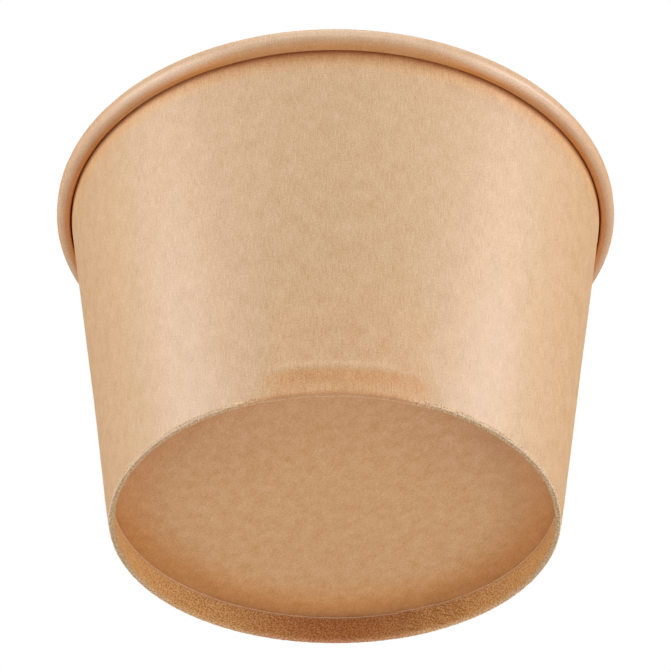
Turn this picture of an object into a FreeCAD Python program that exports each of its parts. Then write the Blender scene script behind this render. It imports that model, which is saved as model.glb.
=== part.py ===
import FreeCAD, Part
import math
import os
import Sketcher

# A kraft paper soup bowl, upright on its foot: +Z is up, the bowl's axis is Z and Z = 0 is the surface it
# stands on. Two blanks of paperboard make it. The sidewall is wrapped into a cone with a glued side lap,
# rolled outward into a curl at the rim, and folded in and up round the foot as a hem. The base disc has a
# rim turned down, and that rim is gripped between the sidewall and its hem, so the disc sits up inside the
# foot. All sizes are millimetres and degrees.

SIZES = {
    "top_diameter": 115.0,       # over the rolled rim
    "bowl_height": 76.0,         # surface to the top of the rim
    "base_diameter": 86.0,       # where the foot's outer face would meet the surface
    "wall_board": 0.42,          # thickness of the sidewall's board
    "base_board": 0.36,          # thickness of the base disc's board
    "bond_gap": 0.03,            # seal between the disc's rim and the board on each side of it
    "recess_depth": 6.2,         # surface to the underside of the base disc
    "hem_clearance": 0.25,       # raw edge of the hem to the underside of the base disc
    "heel_rise": 1.12,           # how far the wall stands out beyond the foot, level with the disc's top
    "fold_corner": 0.3,          # outside radius of the two pressed bends that fold the hem round
    "rim_lift": 0.15,            # bottom of the disc's rim above the floor of the fold
    "disc_bend": 0.3,            # inside radius of the bend between the disc and its rim
    "curl_width": 2.9,           # wall's outer face to the outermost point of the curl
    "curl_height": 4.3,          # top to bottom of the curl
    "curl_gap": 0.1,             # slit between the wall and the edge rolled in behind the curl
    "tail_length": 1.2,          # straight end of the board inside the curl
    "lap_azimuth": 72.7,         # where the outer edge of the side lap lies, from +X towards +Y
    "lap_angle": 9.5,            # overlap of the side lap
    "ramp_angle": 2.4,           # over which the outer layer climbs onto the inner one
    "lap_inset": 0.35,           # the lap is pressed flush this near the folds, the curl and the hem's edge
    "feather": 0.03,             # thickness at which the ramp runs out
    "notch_skin": 0.08,          # board left behind the inner edge of the lap
    "notch_overcut": 0.2,        # how far the notch's cutter stands off the inside face
}

START, FINISH, CENTRE = 1, 2, 3  # the points of a line, and of an arc drawn counter-clockwise
X_AXIS, Z_AXIS = -1, -2          # a sketch's own axes
SKIRT, WALL = 0, 1               # the two straight stretches of the outer face, below and above the heel
UPRIGHT = FreeCAD.Rotation(FreeCAD.Vector(1, 0, 0), 90)

document = FreeCAD.newDocument("soup_bowl")
sheet = document.addObject("Spreadsheet::Sheet", "sizes")
for row, (alias, value) in enumerate(SIZES.items(), start=1):
    sheet.set("A%d" % row, alias)
    sheet.set("B%d" % row, str(value))
    sheet.setAlias("B%d" % row, alias)
document.recompute()


class Outline:
    """A sketch in the plane of the bowl's axis: x is the radius and y is the height."""

    def __init__(self, sketch):
        self.sketch = sketch
        self.rules = []
        self.bound = {}

    def line(self, start, end):
        segment = Part.LineSegment(FreeCAD.Vector(*start, 0), FreeCAD.Vector(*end, 0))
        return self.sketch.addGeometry(segment, False)

    def arc(self, centre, radius, first, last):
        circle = Part.Circle(FreeCAD.Vector(*centre, 0), FreeCAD.Vector(0, 0, 1), radius)
        arc = Part.ArcOfCircle(circle, math.radians(first), math.radians(last))
        return self.sketch.addGeometry(arc, False)

    def mark(self, place):
        return self.sketch.addGeometry(Part.Point(FreeCAD.Vector(*place, 0)), True)

    def rule(self, kind, *parts):
        self.rules.append(Sketcher.Constraint(kind, *parts))

    def size(self, name, kind, *parts, formula):
        constraint = Sketcher.Constraint(kind, *parts, 1.0)
        constraint.Name = name
        self.rules.append(constraint)
        self.bound[name] = formula

    def close(self):
        self.sketch.Constraints = self.rules
        for name, formula in self.bound.items():
            self.sketch.setExpression("Constraints." + name, formula)
        return self.sketch


def add(kind, name, **settings):
    """Add an object to the document and set its plain properties."""
    item = document.addObject(kind, name)
    for setting, value in settings.items():
        setattr(item, setting, value)
    return item


def upright_outline(name):
    sketch = add("Sketcher::SketchObject", name)
    sketch.Placement = FreeCAD.Placement(FreeCAD.Vector(), UPRIGHT)
    return Outline(sketch)


# Rough places from which the sketches are solved; the rules and formulas below fix the real ones.
foot = (SIZES["base_diameter"] / 2, 0.0)
heel = (foot[0] + SIZES["heel_rise"], SIZES["recess_depth"] + SIZES["base_board"])
rim = (SIZES["top_diameter"] / 2, SIZES["bowl_height"])
board = SIZES["wall_board"]
corner = SIZES["fold_corner"]
foot_width = 2 * board + SIZES["base_board"] + 2 * SIZES["bond_gap"]
curl_radius = SIZES["curl_width"] / 2
shoulder = (rim[0] - SIZES["curl_width"], rim[1] - SIZES["curl_height"] / 2)

FOOT_RADIUS = "sizes.base_diameter / 2"
HEEL_RADIUS = "sizes.base_diameter / 2 + sizes.heel_rise"
HEEL_HEIGHT = "sizes.recess_depth + sizes.base_board"
SHOULDER_RADIUS = "sizes.top_diameter / 2 - sizes.curl_width"
SHOULDER_HEIGHT = "sizes.bowl_height - sizes.curl_height / 2"
FOOT_WIDTH = "2 * sizes.wall_board + sizes.base_board + 2 * sizes.bond_gap"
SEAM = "sizes.lap_azimuth - sizes.lap_angle"
TURNED_UPRIGHT = "placement(vector(0; 0; 0); rotation(vector(0; 0; 1); %s) * rotation(vector(1; 0; 0); 90))"


def hold_outer_face(outline, skirt, wall):
    """Put two lines on the sidewall's outer face: the skirt below the heel and the wall above it."""
    foot_mark = outline.mark(foot)
    shoulder_mark = outline.mark(shoulder)
    outline.rule("Coincident", skirt, FINISH, wall, START)
    outline.rule("PointOnObject", foot_mark, START, X_AXIS)
    outline.rule("PointOnObject", foot_mark, START, skirt)
    outline.rule("PointOnObject", shoulder_mark, START, wall)
    outline.size("foot_radius", "DistanceX", foot_mark, START, formula=FOOT_RADIUS)
    outline.size("heel_radius", "DistanceX", skirt, FINISH, formula=HEEL_RADIUS)
    outline.size("heel_height", "DistanceY", skirt, FINISH, formula=HEEL_HEIGHT)
    outline.size("shoulder_radius", "DistanceX", shoulder_mark, START, formula=SHOULDER_RADIUS)
    outline.size("shoulder_height", "DistanceY", shoulder_mark, START, formula=SHOULDER_HEIGHT)


def draw_outer_face():
    """The sidewall's outer face from the hem's raw edge, round the foot and up, to the edge in the curl."""
    outline = upright_outline("outer_face")
    hem_x = foot[0] - foot_width
    hem = outline.line((hem_x, SIZES["recess_depth"]), (hem_x, corner))
    inner_bend = outline.arc((hem_x + corner, corner), corner, 180, 270)
    floor = outline.line((hem_x + corner, 0), (foot[0] - corner, 0))
    outer_bend = outline.arc((foot[0] - corner, corner), corner, 270, 360)
    skirt = outline.line((foot[0], corner), heel)
    wall = outline.line(heel, shoulder)
    inside = curl_radius - board
    top = outline.arc((shoulder[0] + inside, shoulder[1]), inside, 0, 170)
    side = outline.line((rim[0] - board, shoulder[1]), (rim[0] - board, shoulder[1] - board))
    bottom = outline.arc((rim[0] - curl_radius, shoulder[1] - board), inside, 180, 360)
    tail_x = shoulder[0] + board
    tail = outline.line((tail_x, shoulder[1] - board), (tail_x, shoulder[1] + board))

    hold_outer_face(outline, skirt, wall)
    outline.rule("Tangent", hem, FINISH, inner_bend, START)
    outline.rule("Tangent", inner_bend, FINISH, floor, START)
    outline.rule("Tangent", floor, FINISH, outer_bend, START)
    outline.rule("Tangent", outer_bend, FINISH, skirt, START)
    outline.rule("Tangent", wall, FINISH, top, FINISH)
    outline.rule("Tangent", top, START, side, START)
    outline.rule("Tangent", side, FINISH, bottom, FINISH)
    outline.rule("Tangent", bottom, START, tail, START)
    outline.rule("PointOnObject", floor, START, X_AXIS)
    outline.rule("Horizontal", floor)
    outline.rule("Vertical", side)
    outline.rule("Parallel", hem, skirt)
    outline.rule("Parallel", tail, wall)
    outline.size("hem_height", "DistanceY", hem, START, formula="sizes.recess_depth - sizes.hem_clearance")
    outline.size("foot_width", "Distance", hem, START, skirt, formula=FOOT_WIDTH)
    outline.size("inner_fold", "Radius", inner_bend, formula="sizes.fold_corner")
    outline.size("outer_fold", "Radius", outer_bend, formula="sizes.fold_corner")

    crown = outline.mark((shoulder[0] + inside, rim[1] - board))
    belly = outline.mark((rim[0] - curl_radius, rim[1] - SIZES["curl_height"] + board))
    for extreme, arc in ((crown, top), (belly, bottom)):
        outline.rule("PointOnObject", extreme, START, arc)
        outline.rule("Vertical", extreme, START, arc, CENTRE)
    outline.size("crown", "DistanceY", crown, START, formula="sizes.bowl_height - sizes.wall_board")
    outline.size("belly", "DistanceY", belly, START,
                 formula="sizes.bowl_height - sizes.curl_height + sizes.wall_board")
    outline.size("curl_side", "DistanceX", side, START, formula="sizes.top_diameter / 2 - sizes.wall_board")
    outline.size("tail_offset", "Distance", tail, FINISH, wall, formula="sizes.wall_board + sizes.curl_gap")
    outline.size("tail_length", "Distance", tail, formula="sizes.tail_length")
    return outline.close()


def strip(name, near, far, low, high, along=(SKIRT, WALL), azimuth=None):
    """A closed section of board between two copies of the outer face, each moved in or out.

    near and far are a rough offset, positive away from the axis, and the formula of its size, which is
    None on the face itself. low and high are the formulas of the heights where the strip ends. It
    follows the skirt, the wall or both, and can be turned about the axis.
    """
    outline = upright_outline(name)
    guides = [outline.line(foot, heel), outline.line(heel, shoulder)]
    for guide in guides:
        outline.sketch.toggleConstruction(guide)
    hold_outer_face(outline, *guides)
    outline.size("skirt_end", "DistanceY", guides[SKIRT], START, formula="sizes.wall_board")
    outline.size("wall_end", "DistanceY", guides[WALL], FINISH, formula=SHOULDER_HEIGHT)

    rough = (foot, heel, shoulder)[along[0]:along[-1] + 2]
    sides = []
    for side_name, (offset, formula) in (("near", near), ("far", far)):
        places = [(radius + offset, height) for radius, height in rough]
        lines = [outline.line(start, end) for start, end in zip(places, places[1:])]
        for number, line in zip(along, lines):
            outline.rule("Parallel", line, guides[number])
            if formula:
                outline.size("%s_%d" % (side_name, number), "Distance", line, START, guides[number],
                             formula=formula)
            else:
                outline.rule("PointOnObject", line, START, guides[number])
        for lower, upper in zip(lines, lines[1:]):
            outline.rule("Coincident", lower, FINISH, upper, START)
        outline.size(side_name + "_low", "DistanceY", lines[0], START, formula=low)
        outline.size(side_name + "_high", "DistanceY", lines[-1], FINISH, formula=high)
        sides.append((lines, places))

    (near_lines, near_places), (far_lines, far_places) = sides
    for number, end in ((0, START), (-1, FINISH)):
        cap = outline.line(near_places[number], far_places[number])
        outline.rule("Coincident", cap, START, near_lines[number], end)
        outline.rule("Coincident", cap, FINISH, far_lines[number], end)
    sketch = outline.close()
    if azimuth:
        sketch.setExpression("Placement", TURNED_UPRIGHT % azimuth)
    return sketch


def turn(item, azimuth):
    """Turn an object about the bowl's axis by an angle from the sheet."""
    item.Placement = FreeCAD.Placement(FreeCAD.Vector(), FreeCAD.Rotation(FreeCAD.Vector(0, 0, 1), 1))
    item.setExpression("Placement.Rotation.Angle", azimuth)


def turned(name, section, angle):
    """A section turned about the bowl's axis."""
    item = add("Part::Revolution", name, Source=section, Axis=FreeCAD.Vector(0, 0, 1), Solid=True)
    item.setExpression("Angle", angle)
    return item


def wedge(name, thick, thin):
    """Board that runs from one section to a thinner one, a few degrees round."""
    return add("Part::Loft", name, Sections=[thick, thin], Solid=True, Ruled=True)


def build_lap():
    """The lap's outer layer on the wall and on the hem: its overlap, and the ramp that climbs onto it."""
    wall_ends = {
        "low": "sizes.fold_corner + sizes.lap_inset",
        "high": "sizes.bowl_height - sizes.curl_height - sizes.lap_inset",
    }
    hem_ends = {
        "low": wall_ends["low"],
        "high": "sizes.recess_depth - sizes.hem_clearance - sizes.lap_inset",
        "along": (SKIRT,),
    }
    on_face = (0, None)
    wall_full = strip("wall_lap", on_face, (board, "sizes.wall_board"), **wall_ends)
    wall_thin = strip("wall_lap_feather", on_face, (board, "sizes.feather"), **wall_ends,
                      azimuth="-sizes.ramp_angle")
    on_hem = (-foot_width, FOOT_WIDTH)
    past_hem = -foot_width - board
    hem_full = strip("hem_lap", on_hem, (past_hem, FOOT_WIDTH + " + sizes.wall_board"), **hem_ends)
    hem_thin = strip("hem_lap_feather", on_hem, (past_hem, FOOT_WIDTH + " + sizes.feather"), **hem_ends,
                     azimuth="-sizes.ramp_angle")
    lap = add("Part::MultiFuse", "side_lap")
    lap.Shapes = [
        turned("wall_overlap", wall_full, "sizes.lap_angle"),
        wedge("wall_ramp", wall_full, wall_thin),
        turned("hem_overlap", hem_full, "sizes.lap_angle"),
        wedge("hem_ramp", hem_full, hem_thin),
    ]
    turn(lap, SEAM)
    return lap


def build_notch():
    """The groove inside the bowl where the outer layer climbs past the raw edge of the inner one."""
    ends = {
        "low": HEEL_HEIGHT + " + sizes.lap_inset",
        "high": "sizes.bowl_height - sizes.curl_height - sizes.lap_inset",
        "along": (WALL,),
    }
    overcut = (-board - SIZES["notch_overcut"], "sizes.wall_board + sizes.notch_overcut")
    deep = strip("notch_deep", (-SIZES["notch_skin"], "sizes.notch_skin"), overcut, **ends)
    shallow_near = (overcut[0] + SIZES["feather"], overcut[1] + " - sizes.feather")
    shallow = strip("notch_shallow", shallow_near, overcut, **ends, azimuth="-sizes.ramp_angle")
    notch = wedge("lap_notch", deep, shallow)
    turn(notch, SEAM)
    return notch


def build_sidewall():
    """One blank: a turned cone with its curl and hem, the side lap on it and the lap's inner edge cut in."""
    section = add("Part::Offset2D", "wall_section", Source=draw_outer_face(), Fill=True, Mode="Skin",
                  Join="Intersection")
    section.setExpression("Value", "sizes.wall_board")
    wrapped = add("Part::MultiFuse", "wrapped_wall")
    wrapped.Shapes = [turned("wall_cone", section, "360"), build_lap()]
    return add("Part::Cut", "sidewall", Base=wrapped, Tool=build_notch())


def build_base_disc():
    """A flat disc with its rim turned down, parallel to the skirt that grips it."""
    body = add("PartDesign::Body", "base_disc")
    sketch = body.newObject("Sketcher::SketchObject", "disc_section")
    plane = next(item for item in body.Origin.OriginFeatures if item.Role == "XZ_Plane")
    sketch.AttachmentSupport = [(plane, "")]
    sketch.MapMode = "FlatFace"
    outline = Outline(sketch)

    low, high = SIZES["recess_depth"], SIZES["recess_depth"] + SIZES["base_board"]
    outer_x = foot[0] - board
    inner_x = outer_x - SIZES["base_board"]
    bend = SIZES["disc_bend"]
    centre = (inner_x - bend, low - bend)
    underside = outline.line((0, low), (centre[0], low))
    inner_bend = outline.arc(centre, bend, 0, 90)
    inner_rim = outline.line((inner_x, centre[1]), (inner_x, board))
    edge = outline.line((inner_x, board), (outer_x, board))
    outer_rim = outline.line((outer_x, board), (outer_x, centre[1]))
    outer_bend = outline.arc(centre, bend + SIZES["base_board"], 0, 90)
    upperside = outline.line((centre[0], high), (0, high))
    axis = outline.line((0, high), (0, low))
    foot_mark = outline.mark(foot)
    skirt = outline.line(foot, heel)
    outline.sketch.toggleConstruction(skirt)

    outline.rule("Tangent", underside, FINISH, inner_bend, FINISH)
    outline.rule("Tangent", inner_bend, START, inner_rim, START)
    outline.rule("Coincident", inner_rim, FINISH, edge, START)
    outline.rule("Coincident", edge, FINISH, outer_rim, START)
    outline.rule("Tangent", outer_rim, FINISH, outer_bend, START)
    outline.rule("Tangent", outer_bend, FINISH, upperside, START)
    outline.rule("Coincident", upperside, FINISH, axis, START)
    outline.rule("Coincident", axis, FINISH, underside, START)
    outline.rule("PointOnObject", axis, START, Z_AXIS)
    outline.rule("PointOnObject", axis, FINISH, Z_AXIS)
    outline.rule("Horizontal", underside)
    outline.rule("Horizontal", upperside)
    outline.rule("Coincident", inner_bend, CENTRE, outer_bend, CENTRE)
    outline.rule("Perpendicular", edge, outer_rim)
    outline.rule("Coincident", foot_mark, START, skirt, START)
    outline.rule("PointOnObject", foot_mark, START, X_AXIS)
    outline.rule("Parallel", outer_rim, skirt)
    outline.rule("Parallel", inner_rim, skirt)
    outline.size("foot_radius", "DistanceX", foot_mark, START, formula=FOOT_RADIUS)
    outline.size("heel_radius", "DistanceX", skirt, FINISH, formula=HEEL_RADIUS)
    outline.size("heel_height", "DistanceY", skirt, FINISH, formula=HEEL_HEIGHT)
    outline.size("rim_inset", "Distance", outer_rim, START, skirt,
                 formula="sizes.wall_board + sizes.bond_gap")
    outline.size("rim_bottom", "DistanceY", inner_rim, FINISH, formula="sizes.wall_board + sizes.rim_lift")
    outline.size("underside", "DistanceY", underside, START, formula="sizes.recess_depth")
    outline.size("upperside", "DistanceY", upperside, FINISH, formula=HEEL_HEIGHT)
    outline.size("bend", "Radius", inner_bend, formula="sizes.disc_bend")
    outline.close()

    revolution = body.newObject("PartDesign::Revolution", "disc_turned")
    revolution.Profile = sketch
    revolution.ReferenceAxis = (sketch, ["V_Axis"])
    revolution.Angle = 360
    return body


def check_document():
    """Refuse a document in which any object failed or any sub-part has no sound solid."""
    for item in document.Objects:
        if "Invalid" in item.State or "Error" in item.State:
            raise RuntimeError("%s was not built: %s" % (item.Name, item.State))


def write(sub_parts):
    os.makedirs("parts", exist_ok=True)
    for item in sub_parts:
        shape = item.Shape
        if shape.isNull() or not shape.isValid() or len(shape.Solids) != 1:
            raise RuntimeError("%s is not one sound solid" % item.Label)
        shape.exportStep(os.path.join("parts", item.Label + ".step"))
        print("%s: %.1f mm3" % (item.Label, shape.Volume))


sub_parts = [build_sidewall(), build_base_disc()]
for sub_part, label in zip(sub_parts, ("sidewall", "base_disc")):
    sub_part.Label = label
document.recompute()
check_document()
write(sub_parts)
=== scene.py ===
"""Looks of a kraft paper soup bowl, in metres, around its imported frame.

The bowl stands on its foot with its axis on Z. One board is its sidewall, lapped up the back, rolled outward
at the rim and folded up inside the foot. A second board is its base, whose turned-down rim is gripped in that
fold.
"""

import logging
import math
from dataclasses import dataclass, field
from enum import Enum, auto
from typing import Any, Callable

import bpy
import numpy as np
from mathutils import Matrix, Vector


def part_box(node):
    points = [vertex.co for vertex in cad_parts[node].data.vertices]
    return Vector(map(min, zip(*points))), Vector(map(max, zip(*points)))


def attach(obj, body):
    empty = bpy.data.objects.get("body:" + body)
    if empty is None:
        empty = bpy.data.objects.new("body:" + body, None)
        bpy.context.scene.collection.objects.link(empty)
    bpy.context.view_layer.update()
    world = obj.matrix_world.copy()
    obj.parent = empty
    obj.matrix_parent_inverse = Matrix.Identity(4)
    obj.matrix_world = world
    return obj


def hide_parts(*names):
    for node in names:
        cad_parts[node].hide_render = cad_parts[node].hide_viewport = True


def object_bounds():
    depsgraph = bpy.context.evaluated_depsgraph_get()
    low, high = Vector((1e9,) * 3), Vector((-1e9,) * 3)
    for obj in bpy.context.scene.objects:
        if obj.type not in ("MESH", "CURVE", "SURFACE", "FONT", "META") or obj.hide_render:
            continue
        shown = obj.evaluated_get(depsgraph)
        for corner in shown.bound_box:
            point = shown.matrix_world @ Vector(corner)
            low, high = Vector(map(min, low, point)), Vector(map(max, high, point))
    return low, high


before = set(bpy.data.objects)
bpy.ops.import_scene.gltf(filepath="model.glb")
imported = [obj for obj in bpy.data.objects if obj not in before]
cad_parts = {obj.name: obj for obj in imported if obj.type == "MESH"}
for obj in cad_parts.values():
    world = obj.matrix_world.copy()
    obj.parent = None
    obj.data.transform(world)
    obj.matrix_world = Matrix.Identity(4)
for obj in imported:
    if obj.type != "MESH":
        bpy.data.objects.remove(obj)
CAD_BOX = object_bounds()

MM = 0.001
BLANK_MAP = "blank"
SHARP_ANGLE = math.radians(38.0)
AIM_SHARE = 0.6017  # how far up the bowl the camera and the lamps face
Colour = tuple[float, float, float]
Shade = tuple[int, int, int]
Point = tuple[float, float]
COOL: Colour = (0.98, 1.0, 1.07)
WARM: Colour = (1.01, 0.99, 0.95)
log = logging.getLogger("soup_bowl")


# ---------------------------------------------------------------- shader graphs


class Signal:
    """A number that varies over a surface. Arithmetic on it adds Math nodes."""

    def __init__(self, graph: "Graph", socket: bpy.types.NodeSocket) -> None:
        """Wrap an output socket of a node in graph."""
        self.graph = graph
        self.socket = socket

    def _maths(self, operation: str, first: Any, second: Any) -> "Signal":
        """The result of one Math node on two numbers or signals."""
        return self.graph.signal("ShaderNodeMath", {"operation": operation}, {0: first, 1: second})

    def __add__(self, other: Any) -> "Signal":
        """self + other"""
        return self._maths("ADD", self, other)

    def __radd__(self, other: Any) -> "Signal":
        """other + self"""
        return self._maths("ADD", other, self)

    def __sub__(self, other: Any) -> "Signal":
        """self - other"""
        return self._maths("SUBTRACT", self, other)

    def __rsub__(self, other: Any) -> "Signal":
        """other - self"""
        return self._maths("SUBTRACT", other, self)

    def __mul__(self, other: Any) -> "Signal":
        """self * other"""
        return self._maths("MULTIPLY", self, other)

    def __rmul__(self, other: Any) -> "Signal":
        """other * self"""
        return self._maths("MULTIPLY", other, self)

    def step(self, low: float, high: float) -> "Signal":
        """A smooth step.

        Args:
            low: the value below which the result is 0.
            high: the value above which the result is 1.

        Returns:
            The signal mapped smoothly from 0 to 1.
        """
        settings = {"interpolation_type": "SMOOTHSTEP"}
        return self.graph.signal("ShaderNodeMapRange", settings, {0: self, 1: low, 2: high})


class Graph:
    """The node graph of one material or world."""

    def __init__(self, tree: bpy.types.NodeTree) -> None:
        """Empty the tree and keep it."""
        tree.nodes.clear()
        self.tree = tree

    def node(self, kind: str, settings: dict[str, Any], inputs: dict[Any, Any]) -> bpy.types.Node:
        """Add a node.

        Args:
            kind: the node's type.
            settings: its own properties, which are set first.
            inputs: values, sockets or signals for its input sockets, by name or number.

        Returns:
            The node.
        """
        node = self.tree.nodes.new(kind)
        for name, value in settings.items():
            setattr(node, name, value)
        for name, value in inputs.items():
            source = value.socket if isinstance(value, Signal) else value
            if isinstance(source, bpy.types.NodeSocket):
                self.tree.links.new(source, node.inputs[name])
            else:
                node.inputs[name].default_value = source
        return node

    def signal(self, kind: str, settings: dict[str, Any], inputs: dict[Any, Any], output: Any = 0) -> Signal:
        """Add a node and wrap one of its outputs.

        Args:
            kind: the node's type.
            settings: its own properties.
            inputs: values, sockets or signals for its input sockets.
            output: the name or number of the output to wrap.

        Returns:
            The output as a signal.
        """
        return Signal(self, self.node(kind, settings, inputs).outputs[output])

    def attribute(self, name: str) -> Signal:
        """A number stored on the mesh."""
        return self.signal("ShaderNodeAttribute", {"attribute_name": name}, {}, "Fac")

    def blank_place(self) -> bpy.types.NodeSocket:
        """The place on the flat blank, in metres."""
        return self.node("ShaderNodeUVMap", {"uv_map": BLANK_MAP}, {}).outputs["UV"]

    def grain(self, place: bpy.types.NodeSocket, width: float, length: float, detail: float = 2.0,
              offset: tuple[float, float, float] = (0.0, 0.0, 0.0), turn: float = 0.0) -> Signal:
        """Noise with its own width across the blank and length along it.

        Args:
            place: the coordinates to use.
            width: the size of a feature across the grain, in metres.
            length: its size along the grain.
            detail: octaves of finer noise on it.
            offset: where the noise is read, so that two layers differ.
            turn: the angle of its grain from the blank's, in radians.

        Returns:
            Noise from about 0 to 1, with a mean of 0.5.
        """
        if turn:
            settings = {"rotation_type": "Z_AXIS"}
            place = self.node("ShaderNodeVectorRotate", settings, {"Vector": place, "Angle": turn}).outputs[0]
        settings = {"operation": "MULTIPLY_ADD"}
        scale = (1 / width, 1 / length, 1.0)
        scaled = self.node("ShaderNodeVectorMath", settings, {0: place, 1: scale, 2: offset})
        inputs = {"Vector": scaled.outputs[0], "Scale": 1.0, "Detail": detail, "Roughness": 0.55}
        return self.signal("ShaderNodeTexNoise", {"noise_dimensions": "3D"}, inputs)

    def blend(self, factor: Signal, first: Any, second: Any) -> bpy.types.NodeSocket:
        """Mix two colours by a signal, which is 0 for the first and 1 for the second."""
        mix = self.node("ShaderNodeMix", {"data_type": "RGBA"}, {0: factor, 6: first, 7: second})
        return mix.outputs[2]

    def tint(self, factor: Signal, colour: Any, shade_colour: Any) -> bpy.types.NodeSocket:
        """Multiply a colour by another one, to paint shade.

        Args:
            factor: 0 where the colour stays and 1 where it is multiplied in full.
            colour: the colour.
            shade_colour: the colour that is multiplied in.

        Returns:
            The new colour's socket.
        """
        settings = {"data_type": "RGBA", "blend_type": "MULTIPLY"}
        mix = self.node("ShaderNodeMix", settings, {0: factor, 6: colour, 7: shade_colour})
        return mix.outputs[2]


def linear(red: int, green: int, blue: int) -> tuple[float, float, float, float]:
    """Turn a colour from display values into linear ones.

    Args:
        red: the red value, from 0 to 255.
        green: the green value.
        blue: the blue value.

    Returns:
        The linear values, from 0 to 1, with full opacity.
    """
    def channel(value: int) -> float:
        """One channel as a linear value."""
        share = value / 255
        return share / 12.92 if share <= 0.04045 else ((share + 0.055) / 1.055) ** 2.4
    return (channel(red), channel(green), channel(blue), 1.0)


# ---------------------------------------------------------------- finishes


@dataclass(frozen=True)
class KraftBoard:
    """The brown board: its faint mottle, its fine upright fibres, flecks and specks.

    The colours are display values, and the strengths are shares of the step from dark to light.
    """

    name: str
    dark: Shade
    light: Shade
    # pale rubbed wear, also the colour of painted highlights
    wear_and_highlight: Shade = (252, 226, 200)
    crumbled: Shade = (236, 196, 158)
    speck: Shade = (120, 78, 46)
    # a saturated colour for painted warm shade: warm bounce light and shade in hollows and under the curl
    warm_shade_dark: Shade = (212, 148, 82)
    warm_shade_light: Shade = (255, 222, 162)
    # a dark colour multiplied in as painted shade
    shade_tint: Shade = (182, 88, 26)
    cloud: float = 0.55
    streak: float = 0.95
    fleck: float = 1.5
    streak_width: float = 0.24 * MM
    streak_length: float = 2.2 * MM
    fleck_size: float = 0.24 * MM
    cloud_size: float = 3.0 * MM
    roughness: float = 0.38
    gloss: float = 0.45
    relief: float = 0.008 * MM
    knurl: float = 0.26 * MM
    speck_size: Point = (0.35 * MM, 0.9 * MM)
    grit_size: Point = (0.30 * MM, 0.52 * MM)
    crease_size: Point = (0.34 * MM, 3.2 * MM)
    grit_contrast: float = 6.0
    # how much the knurled grit breaks up the painted shade
    grit_in_shade: float = 1.1
    crease_depth: float = 1.8
    matt_share: float = 0.8

    def make(self) -> bpy.types.Material:
        """Build the material.

        Returns:
            The material, whose wear, painted highlights, crumbling, knurling, painted warm shade and painted
            shade follow the mesh's attributes.
        """
        material = bpy.data.materials.new(self.name)
        material.use_nodes = True
        graph = Graph(material.node_tree)
        place = graph.blank_place()
        wear_and_highlight = graph.attribute("wear_and_highlight")
        crumbled = graph.attribute("crumbled")
        knurled = graph.attribute("knurled")
        creased = graph.attribute("creased")

        streak = graph.grain(place, self.streak_width, self.streak_length, 2.0) - 0.5
        fleck = graph.grain(place, self.fleck_size, self.fleck_size * 1.3, 2.0, (7.0, 3.0, 0.0)) - 0.5
        cloud = graph.grain(place, self.cloud_size, self.cloud_size * 1.4, 3.0, (3.0, 11.0, 0.0)) - 0.5
        shiver = graph.grain(place, *self.speck_size, 1.0, (19.0, 5.0, 0.0), 0.5)
        grit = graph.grain(place, *self.grit_size, 2.0, (1.0, 23.0, 0.0), 0.2) - 0.5
        crease = graph.grain(place, *self.crease_size, 1.0, (13.0, 2.0, 0.0), -0.56)
        crease = crease.step(0.54, 0.64) * creased

        tone = 0.5 + streak * self.streak + fleck * self.fleck + cloud * self.cloud
        tone = tone + grit * knurled * self.grit_contrast - crease * self.crease_depth
        colour = graph.blend(tone, linear(*self.dark), linear(*self.light))
        # painted warm shade, blended in by its attribute
        shade_colour = graph.blend(tone, linear(*self.warm_shade_dark), linear(*self.warm_shade_light))
        colour = graph.blend(graph.attribute("painted_warm_shade"), colour, shade_colour)
        # painted shade, multiplied in by its attribute
        painted_shade = graph.attribute("painted_shade") * (1 - grit * knurled * self.grit_in_shade)
        colour = graph.tint(painted_shade, colour, linear(*self.shade_tint))
        specks = shiver.step(0.735, 0.80) * 0.45
        colour = graph.blend(specks, colour, linear(*self.speck))
        colour = graph.blend(crumbled * fleck.step(-0.05, 0.12), colour, linear(*self.crumbled))
        # pale rubbed wear, and painted highlights on the foot's corner, the ridge line and the curl's belly
        colour = graph.blend(wear_and_highlight * (0.8 + fleck * 1.5), colour, linear(*self.wear_and_highlight))

        height = streak * 0.6 + fleck * 0.8 + (knurled * grit - crease * 0.8) * (self.knurl / self.relief)
        bump = graph.node("ShaderNodeBump", {}, {"Strength": 1.0, "Distance": self.relief, "Height": height})
        glance = graph.signal("ShaderNodeLayerWeight", {}, {"Blend": 0.5}, "Facing").step(0.35, 0.85)
        roughness = self.roughness + cloud * 0.12 + fleck * 0.08 + glance * 0.5
        shader = graph.node("ShaderNodeBsdfPrincipled", {}, {
            "Base Color": colour, "Roughness": roughness, "Normal": bump.outputs[0],
            "Specular IOR Level": self.gloss,
        })
        matt = graph.node("ShaderNodeBsdfDiffuse", {}, {"Color": colour, "Normal": bump.outputs[0]})
        layers = {0: glance * self.matt_share, 1: shader.outputs[0], 2: matt.outputs[0]}
        board = graph.node("ShaderNodeMixShader", {}, layers)
        graph.node("ShaderNodeOutputMaterial", {}, {"Surface": board.outputs[0]})
        return material


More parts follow.
